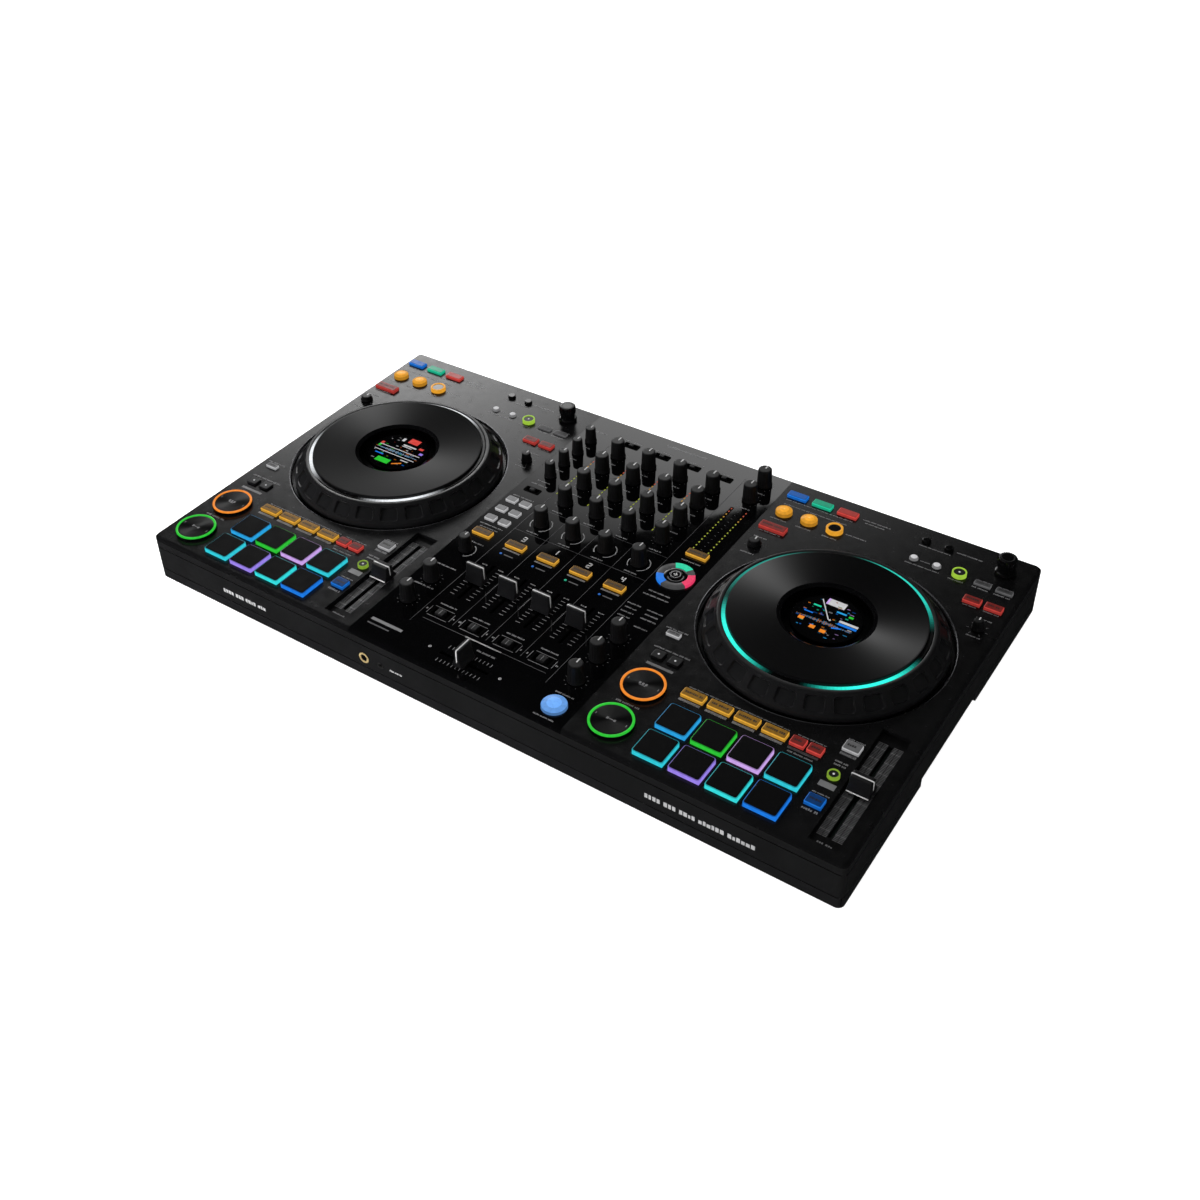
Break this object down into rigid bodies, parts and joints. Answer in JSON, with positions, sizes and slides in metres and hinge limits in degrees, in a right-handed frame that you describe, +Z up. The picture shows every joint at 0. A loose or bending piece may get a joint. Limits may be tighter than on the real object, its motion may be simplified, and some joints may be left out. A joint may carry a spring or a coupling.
{
  "type": "dj controller",
  "caption": "Four-channel desktop DJ controller: two large jog wheels with round screens, lit pads and keys, and a knob and fader mixer between them.",
  "frame": {"origin": "on the surface it stands on, under the middle of the case's plan", "axes": "+X to the player's right, +Y away from the player, +Z up"},
  "size_m": [0.716, 0.4004, 0.0734],
  "materials": {
    "satin_case": "fine satin grain",
    "deck_sheet": "satin, fine grain",
    "mixer_sheet": "polished black",
    "chassis_steel": "fine textured powder coat",
    "rubber_black": "matte",
    "screw_steel": "black zinc",
    "board_green": "solder mask",
    "wheel_black": "satin",
    "plate_black": "spun, black anodised",
    "screen_glass": "clear window over a display",
    "socket_black": "moulded sockets with metal shells",
    "pad_rubber": "translucent silicone, lit",
    "key_translucent": "lit translucent caps",
    "transport_black": "gloss with a lit ring",
    "knob_black": "soft grip with a white line",
    "fader_black": "satin with a white line",
    "switch_black": "satin"
  },
  "bodies": {
    "case": {"bottom_chassis": "chassis_steel", "case_frame": "satin_case", "left_deck_panel": "deck_sheet", "right_deck_panel": "deck_sheet", "mixer_panel": "mixer_sheet", "rubber_feet": "rubber_black", "case_screws": "screw_steel", "circuit_boards": "board_green", "jog_displays": "screen_glass", "connector_sockets": "socket_black", "small_trim_knobs": "knob_black"},
    "left_jog_wheel": {"left_jog_rim": "wheel_black", "left_jog_plate": "plate_black"},
    "right_jog_wheel": {"right_jog_rim": "wheel_black", "right_jog_plate": "plate_black"},
    "channel_1_trim_knob": {"channel_1_trim_knob": "knob_black"},
    "channel_1_high_knob": {"channel_1_high_knob": "knob_black"},
    "channel_1_mid_knob": {"channel_1_mid_knob": "knob_black"},
    "channel_1_low_knob": {"channel_1_low_knob": "knob_black"},
    "channel_1_colour_knob": {"channel_1_colour_knob": "knob_black"},
    "channel_1_fader": {"channel_1_fader": "fader_black"},
    "channel_2_trim_knob": {"channel_2_trim_knob": "knob_black"},
    "channel_2_high_knob": {"channel_2_high_knob": "knob_black"},
    "channel_2_mid_knob": {"channel_2_mid_knob": "knob_black"},
    "channel_2_low_knob": {"channel_2_low_knob": "knob_black"},
    "channel_2_colour_knob": {"channel_2_colour_knob": "knob_black"},
    "channel_2_fader": {"channel_2_fader": "fader_black"},
    "channel_3_trim_knob": {"channel_3_trim_knob": "knob_black"},
    "channel_3_high_knob": {"channel_3_high_knob": "knob_black"},
    "channel_3_mid_knob": {"channel_3_mid_knob": "knob_black"},
    "channel_3_low_knob": {"channel_3_low_knob": "knob_black"},
    "channel_3_colour_knob": {"channel_3_colour_knob": "knob_black"},
    "channel_3_fader": {"channel_3_fader": "fader_black"},
    "channel_4_trim_knob": {"channel_4_trim_knob": "knob_black"},
    "channel_4_high_knob": {"channel_4_high_knob": "knob_black"},
    "channel_4_mid_knob": {"channel_4_mid_knob": "knob_black"},
    "channel_4_low_knob": {"channel_4_low_knob": "knob_black"},
    "channel_4_colour_knob": {"channel_4_colour_knob": "knob_black"},
    "channel_4_fader": {"channel_4_fader": "fader_black"},
    "crossfader": {"crossfader": "fader_black"},
    "left_tempo_slider": {"left_tempo_slider": "fader_black"},
    "right_tempo_slider": {"right_tempo_slider": "fader_black"},
    "master_level_knob": {"master_level_knob": "knob_black"},
    "booth_level_knob": {"booth_level_knob": "knob_black"},
    "effect_select_knob": {"effect_select_knob": "knob_black"},
    "effect_time_knob": {"effect_time_knob": "knob_black"},
    "effect_depth_knob": {"effect_depth_knob": "knob_black"},
    "headphone_mix_knob": {"headphone_mix_knob": "knob_black"},
    "headphone_level_knob": {"headphone_level_knob": "knob_black"},
    "left_browse_knob": {"left_browse_knob": "knob_black"},
    "right_browse_knob": {"right_browse_knob": "knob_black"},
    "left_pads": {"left_pads": "pad_rubber"},
    "left_transport_keys": {"left_transport_keys": "transport_black"},
    "left_deck_keys": {"left_deck_keys": "key_translucent"},
    "right_pads": {"right_pads": "pad_rubber"},
    "right_transport_keys": {"right_transport_keys": "transport_black"},
    "right_deck_keys": {"right_deck_keys": "key_translucent"},
    "mixer_keys": {"mixer_keys": "key_translucent"},
    "slide_switches": {"slide_switches": "switch_black"},
    "power_switch": {"power_switch": "switch_black"}
  },
  "joints": [
    {"name": "left_jog_spin", "type": "hinge", "parent": "case", "child": "left_jog_wheel", "pos_m": [-0.2347, 0.0165, 0.062], "axis": [0, 0, 1], "continuous": true},
    {"name": "right_jog_spin", "type": "hinge", "parent": "case", "child": "right_jog_wheel", "pos_m": [0.2347, 0.0165, 0.062], "axis": [0, 0, 1], "continuous": true},
    {"name": "channel_1_trim_turn", "type": "hinge", "parent": "case", "child": "channel_1_trim_knob", "pos_m": [-0.0554, 0.144, 0.062], "axis": [0, 0, 1], "range_deg": [-150, 150]},
    {"name": "channel_1_high_turn", "type": "hinge", "parent": "case", "child": "channel_1_high_knob", "pos_m": [-0.0554, 0.115, 0.062], "axis": [0, 0, 1], "range_deg": [-150, 150]},
    {"name": "channel_1_mid_turn", "type": "hinge", "parent": "case", "child": "channel_1_mid_knob", "pos_m": [-0.0554, 0.083, 0.062], "axis": [0, 0, 1], "range_deg": [-150, 150]},
    {"name": "channel_1_low_turn", "type": "hinge", "parent": "case", "child": "channel_1_low_knob", "pos_m": [-0.0554, 0.0505, 0.062], "axis": [0, 0, 1], "range_deg": [-150, 150]},
    {"name": "channel_1_colour_turn", "type": "hinge", "parent": "case", "child": "channel_1_colour_knob", "pos_m": [-0.0554, 0.0105, 0.062], "axis": [0, 0, 1], "range_deg": [-150, 150]},
    {"name": "channel_1_fader_slide", "type": "slide", "parent": "case", "child": "channel_1_fader", "axis": [0, 1, 0], "range_m": [-0.024, 0.024]},
    {"name": "channel_2_trim_turn", "type": "hinge", "parent": "case", "child": "channel_2_trim_knob", "pos_m": [-0.0195, 0.144, 0.062], "axis": [0, 0, 1], "range_deg": [-150, 150]},
    {"name": "channel_2_high_turn", "type": "hinge", "parent": "case", "child": "channel_2_high_knob", "pos_m": [-0.0195, 0.115, 0.062], "axis": [0, 0, 1], "range_deg": [-150, 150]},
    {"name": "channel_2_mid_turn", "type": "hinge", "parent": "case", "child": "channel_2_mid_knob", "pos_m": [-0.0195, 0.083, 0.062], "axis": [0, 0, 1], "range_deg": [-150, 150]},
    {"name": "channel_2_low_turn", "type": "hinge", "parent": "case", "child": "channel_2_low_knob", "pos_m": [-0.0195, 0.0505, 0.062], "axis": [0, 0, 1], "range_deg": [-150, 150]},
    {"name": "channel_2_colour_turn", "type": "hinge", "parent": "case", "child": "channel_2_colour_knob", "pos_m": [-0.0195, 0.0105, 0.062], "axis": [0, 0, 1], "range_deg": [-150, 150]},
    {"name": "channel_2_fader_slide", "type": "slide", "parent": "case", "child": "channel_2_fader", "axis": [0, 1, 0], "range_m": [-0.024, 0.024]},
    {"name": "channel_3_trim_turn", "type": "hinge", "parent": "case", "child": "channel_3_trim_knob", "pos_m": [0.0166, 0.144, 0.062], "axis": [0, 0, 1], "range_deg": [-150, 150]},
    {"name": "channel_3_high_turn", "type": "hinge", "parent": "case", "child": "channel_3_high_knob", "pos_m": [0.0166, 0.115, 0.062], "axis": [0, 0, 1], "range_deg": [-150, 150]},
    {"name": "channel_3_mid_turn", "type": "hinge", "parent": "case", "child": "channel_3_mid_knob", "pos_m": [0.0166, 0.083, 0.062], "axis": [0, 0, 1], "range_deg": [-150, 150]},
    {"name": "channel_3_low_turn", "type": "hinge", "parent": "case", "child": "channel_3_low_knob", "pos_m": [0.0166, 0.0505, 0.062], "axis": [0, 0, 1], "range_deg": [-150, 150]},
    {"name": "channel_3_colour_turn", "type": "hinge", "parent": "case", "child": "channel_3_colour_knob", "pos_m": [0.0166, 0.0105, 0.062], "axis": [0, 0, 1], "range_deg": [-150, 150]},
    {"name": "channel_3_fader_slide", "type": "slide", "parent": "case", "child": "channel_3_fader", "axis": [0, 1, 0], "range_m": [-0.024, 0.024]},
    {"name": "channel_4_trim_turn", "type": "hinge", "parent": "case", "child": "channel_4_trim_knob", "pos_m": [0.0529, 0.144, 0.062], "axis": [0, 0, 1], "range_deg": [-150, 150]},
    {"name": "channel_4_high_turn", "type": "hinge", "parent": "case", "child": "channel_4_high_knob", "pos_m": [0.0529, 0.115, 0.062], "axis": [0, 0, 1], "range_deg": [-150, 150]},
    {"name": "channel_4_mid_turn", "type": "hinge", "parent": "case", "child": "channel_4_mid_knob", "pos_m": [0.0529, 0.083, 0.062], "axis": [0, 0, 1], "range_deg": [-150, 150]},
    {"name": "channel_4_low_turn", "type": "hinge", "parent": "case", "child": "channel_4_low_knob", "pos_m": [0.0529, 0.0505, 0.062], "axis": [0, 0, 1], "range_deg": [-150, 150]},
    {"name": "channel_4_colour_turn", "type": "hinge", "parent": "case", "child": "channel_4_colour_knob", "pos_m": [0.0529, 0.0105, 0.062], "axis": [0, 0, 1], "range_deg": [-150, 150]},
    {"name": "channel_4_fader_slide", "type": "slide", "parent": "case", "child": "channel_4_fader", "axis": [0, 1, 0], "range_m": [-0.024, 0.024]},
    {"name": "crossfader_slide", "type": "slide", "parent": "case", "child": "crossfader", "axis": [1, 0, 0], "range_m": [-0.022, 0.022]},
    {"name": "left_tempo_slide", "type": "slide", "parent": "case", "child": "left_tempo_slider", "axis": [0, 1, 0], "range_m": [-0.05, 0.05]},
    {"name": "right_tempo_slide", "type": "slide", "parent": "case", "child": "right_tempo_slider", "axis": [0, 1, 0], "range_m": [-0.05, 0.05]},
    {"name": "master_level_turn", "type": "hinge", "parent": "case", "child": "master_level_knob", "pos_m": [0.091, 0.178, 0.062], "axis": [0, 0, 1], "range_deg": [-150, 150]},
    {"name": "booth_level_turn", "type": "hinge", "parent": "case", "child": "booth_level_knob", "pos_m": [0.091, 0.149, 0.062], "axis": [0, 0, 1], "range_deg": [-150, 150]},
    {"name": "effect_select_turn", "type": "hinge", "parent": "case", "child": "effect_select_knob", "pos_m": [0.0925, -0.085, 0.062], "axis": [0, 0, 1], "range_deg": [-150, 150]},
    {"name": "effect_time_turn", "type": "hinge", "parent": "case", "child": "effect_time_knob", "pos_m": [0.091, -0.115, 0.062], "axis": [0, 0, 1], "range_deg": [-150, 150]},
    {"name": "effect_depth_turn", "type": "hinge", "parent": "case", "child": "effect_depth_knob", "pos_m": [0.091, -0.147, 0.062], "axis": [0, 0, 1], "range_deg": [-150, 150]},
    {"name": "headphone_mix_turn", "type": "hinge", "parent": "case", "child": "headphone_mix_knob", "pos_m": [-0.0925, -0.108, 0.062], "axis": [0, 0, 1], "range_deg": [-150, 150]},
    {"name": "headphone_level_turn", "type": "hinge", "parent": "case", "child": "headphone_level_knob", "pos_m": [-0.0925, -0.141, 0.062], "axis": [0, 0, 1], "range_deg": [-150, 150]},
    {"name": "left_browse_turn", "type": "hinge", "parent": "case", "child": "left_browse_knob", "pos_m": [-0.1364, 0.173, 0.062], "axis": [0, 0, 1], "continuous": true},
    {"name": "right_browse_turn", "type": "hinge", "parent": "case", "child": "right_browse_knob", "pos_m": [0.333, 0.173, 0.062], "axis": [0, 0, 1], "continuous": true},
    {"name": "left_pad_press", "type": "slide", "parent": "case", "child": "left_pads", "axis": [0, 0, -1], "range_m": [0, 0.001], "stiffness_N_per_m": 4200, "springref_m": -0.00045},
    {"name": "left_transport_press", "type": "slide", "parent": "case", "child": "left_transport_keys", "axis": [0, 0, -1], "range_m": [0, 0.0008], "stiffness_N_per_m": 3500, "springref_m": -0.00036},
    {"name": "left_deck_key_press", "type": "slide", "parent": "case", "child": "left_deck_keys", "axis": [0, 0, -1], "range_m": [0, 0.0007], "stiffness_N_per_m": 4000, "springref_m": -0.00032},
    {"name": "right_pad_press", "type": "slide", "parent": "case", "child": "right_pads", "axis": [0, 0, -1], "range_m": [0, 0.001], "stiffness_N_per_m": 4200, "springref_m": -0.00045},
    {"name": "right_transport_press", "type": "slide", "parent": "case", "child": "right_transport_keys", "axis": [0, 0, -1], "range_m": [0, 0.0008], "stiffness_N_per_m": 3500, "springref_m": -0.00036},
    {"name": "right_deck_key_press", "type": "slide", "parent": "case", "child": "right_deck_keys", "axis": [0, 0, -1], "range_m": [0, 0.0007], "stiffness_N_per_m": 4000, "springref_m": -0.00032},
    {"name": "mixer_key_press", "type": "slide", "parent": "case", "child": "mixer_keys", "axis": [0, 0, -1], "range_m": [0, 0.0007], "stiffness_N_per_m": 4000, "springref_m": -0.00032},
    {"name": "slide_switch_shift", "type": "slide", "parent": "case", "child": "slide_switches", "axis": [1, 0, 0], "range_m": [-0.0033, 0.0033]},
    {"name": "power_rocker", "type": "hinge", "parent": "case", "child": "power_switch", "pos_m": [0.292, 0.19125, 0.0317], "axis": [1, 0, 0], "range_deg": [0, 12]}
  ]
}
